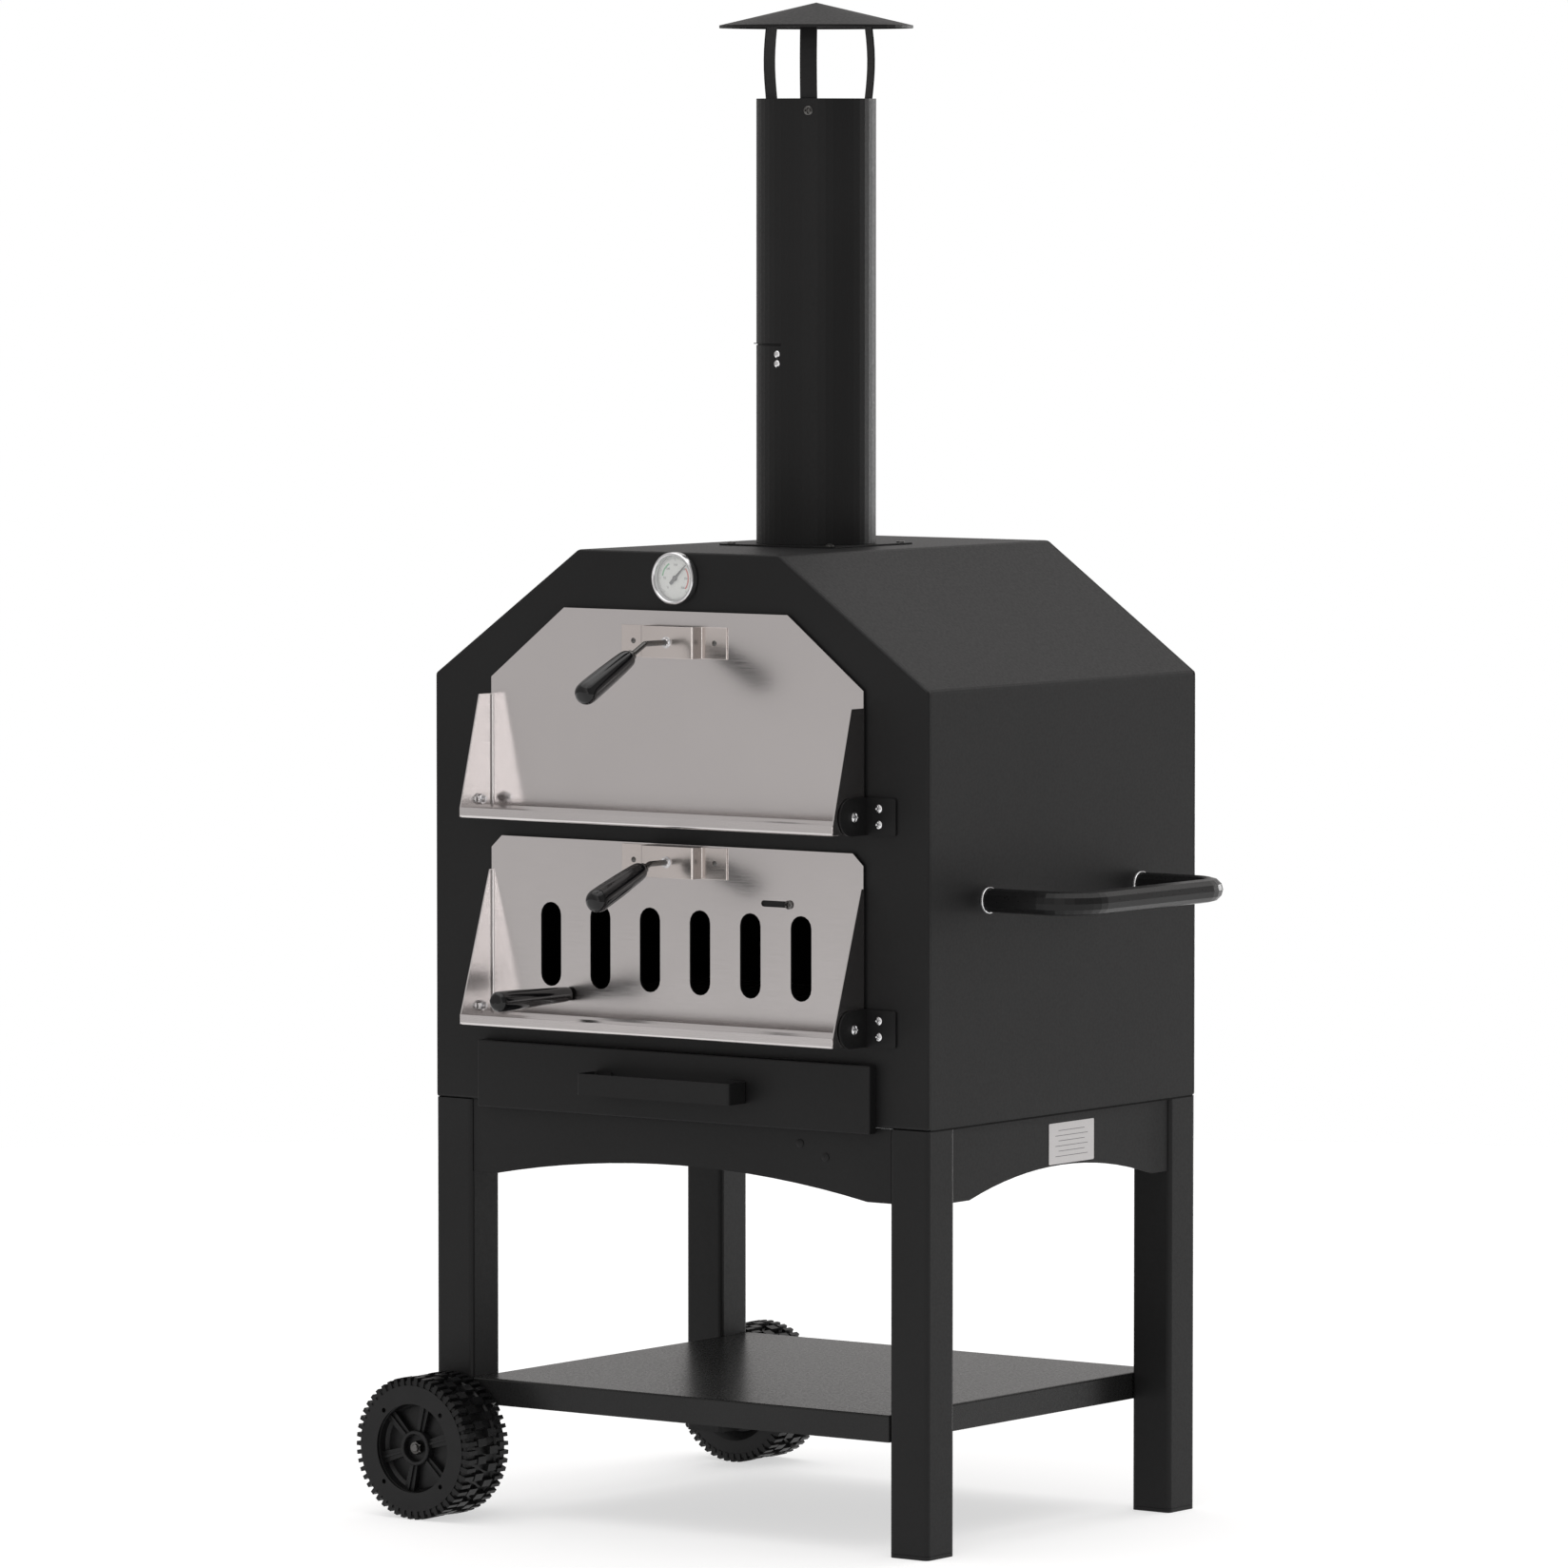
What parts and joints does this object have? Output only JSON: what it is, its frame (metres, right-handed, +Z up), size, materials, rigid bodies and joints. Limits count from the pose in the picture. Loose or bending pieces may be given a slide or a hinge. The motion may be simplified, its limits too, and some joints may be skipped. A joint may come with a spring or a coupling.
{
  "type": "wood fired pizza oven",
  "caption": "Outdoor pizza oven in black sheet steel with two drop-down stainless doors, chimney, ash tray and storage shelf, on legs with wheels at one side.",
  "frame": {"origin": "floor level under the middle of the overall box", "axes": "+Z up, -Y towards a person at the doors, +X towards the side handle; the wheels are at -X"},
  "size_m": [0.8142, 0.7299, 1.5985],
  "materials": {
    "powder_black": "satin heat-resistant powder coat",
    "stainless": "satin, finely brushed",
    "zinc": "bright plated",
    "grip_black": "polished, heat-resistant",
    "wheel_black": "moulded, slight sheen",
    "stone": "matt cordierite",
    "cast_black": "blackened",
    "dial_white": null,
    "needle_black": "satin",
    "lens": "clear"
  },
  "bodies": {
    "oven": {"apron_back": "powder_black", "apron_front": "powder_black", "apron_left": "powder_black", "apron_right": "powder_black", "body_floor": "powder_black", "body_wrap": "powder_black", "cap_strap_front": "powder_black", "cap_strap_left": "powder_black", "cap_strap_right": "powder_black", "charcoal_grate": "cast_black", "chimney_cap": "powder_black", "chimney_flange": "powder_black", "chimney_tube": "powder_black", "cooking_rack": "zinc", "foot_cap_back": "wheel_black", "foot_cap_front": "wheel_black", "front_panel": "powder_black", "gauge_case": "zinc", "gauge_dial": "dial_white", "gauge_lens": "lens", "grate_rail_left": "powder_black", "grate_rail_right": "powder_black", "hinge_lower_left": "powder_black", "hinge_lower_right": "powder_black", "hinge_upper_left": "powder_black", "hinge_upper_right": "powder_black", "leg_back_left": "powder_black", "leg_back_right": "powder_black", "leg_front_left": "powder_black", "leg_front_right": "powder_black", "pizza_stone": "stone", "rack_rail_left": "powder_black", "rack_rail_right": "powder_black", "rear_panel": "powder_black", "side_handle": "powder_black", "storage_shelf": "powder_black", "wheel_bolt_back": "zinc", "wheel_bolt_front": "zinc"},
    "upper_door": {"upper_door_panel": "stainless", "upper_handle_bracket": "stainless", "upper_handle_rod": "zinc", "upper_handle_grip": "grip_black", "upper_pivot_bolt_left": "zinc", "upper_pivot_bolt_right": "zinc"},
    "lower_door": {"lower_door_panel": "stainless", "lower_handle_bracket": "stainless", "lower_handle_rod": "zinc", "lower_handle_grip": "grip_black", "lower_pivot_bolt_left": "zinc", "lower_pivot_bolt_right": "zinc"},
    "vent": {"vent_slider": "powder_black", "vent_grip": "grip_black", "vent_guide_bolt": "cast_black"},
    "ash_tray": {"ash_tray_pan": "powder_black", "ash_tray_front": "powder_black", "ash_tray_handle": "powder_black"},
    "damper": {"damper_plate": "powder_black"},
    "gauge_needle": {"gauge_needle": "needle_black"},
    "wheel_front": {"wheel_front": "wheel_black"},
    "wheel_back": {"wheel_back": "wheel_black"}
  },
  "joints": [
    {"name": "upper_door_hinge", "type": "hinge", "parent": "oven", "child": "upper_door", "pos_m": [-0.0354, -0.2248, 0.7625], "axis": [1, 0, 0], "range_deg": [0, 90]},
    {"name": "lower_door_hinge", "type": "hinge", "parent": "oven", "child": "lower_door", "pos_m": [-0.0354, -0.2248, 0.5445], "axis": [1, 0, 0], "range_deg": [0, 90]},
    {"name": "vent_slide", "type": "slide", "parent": "lower_door", "child": "vent", "axis": [-1, 0, 0], "range_m": [0, 0.031]},
    {"name": "ash_tray_slide", "type": "slide", "parent": "oven", "child": "ash_tray", "axis": [0, 1, 0], "range_m": [-0.3, 0]},
    {"name": "damper_slide", "type": "slide", "parent": "oven", "child": "damper", "axis": [-1, 0, 0], "range_m": [0, 0.1]},
    {"name": "gauge_needle_turn", "type": "hinge", "parent": "oven", "child": "gauge_needle", "pos_m": [-0.0354, -0.1993, 1], "axis": [0, 1, 0], "range_deg": [-180, 90], "stiffness_Nm_per_rad": 0.001},
    {"name": "wheel_front_spin", "type": "hinge", "parent": "oven", "child": "wheel_front", "pos_m": [-0.3314, -0.2373, 0.0757], "axis": [0, 1, 0], "continuous": true},
    {"name": "wheel_back_spin", "type": "hinge", "parent": "oven", "child": "wheel_back", "pos_m": [-0.3314, 0.3287, 0.0757], "axis": [0, 1, 0], "continuous": true}
  ]
}
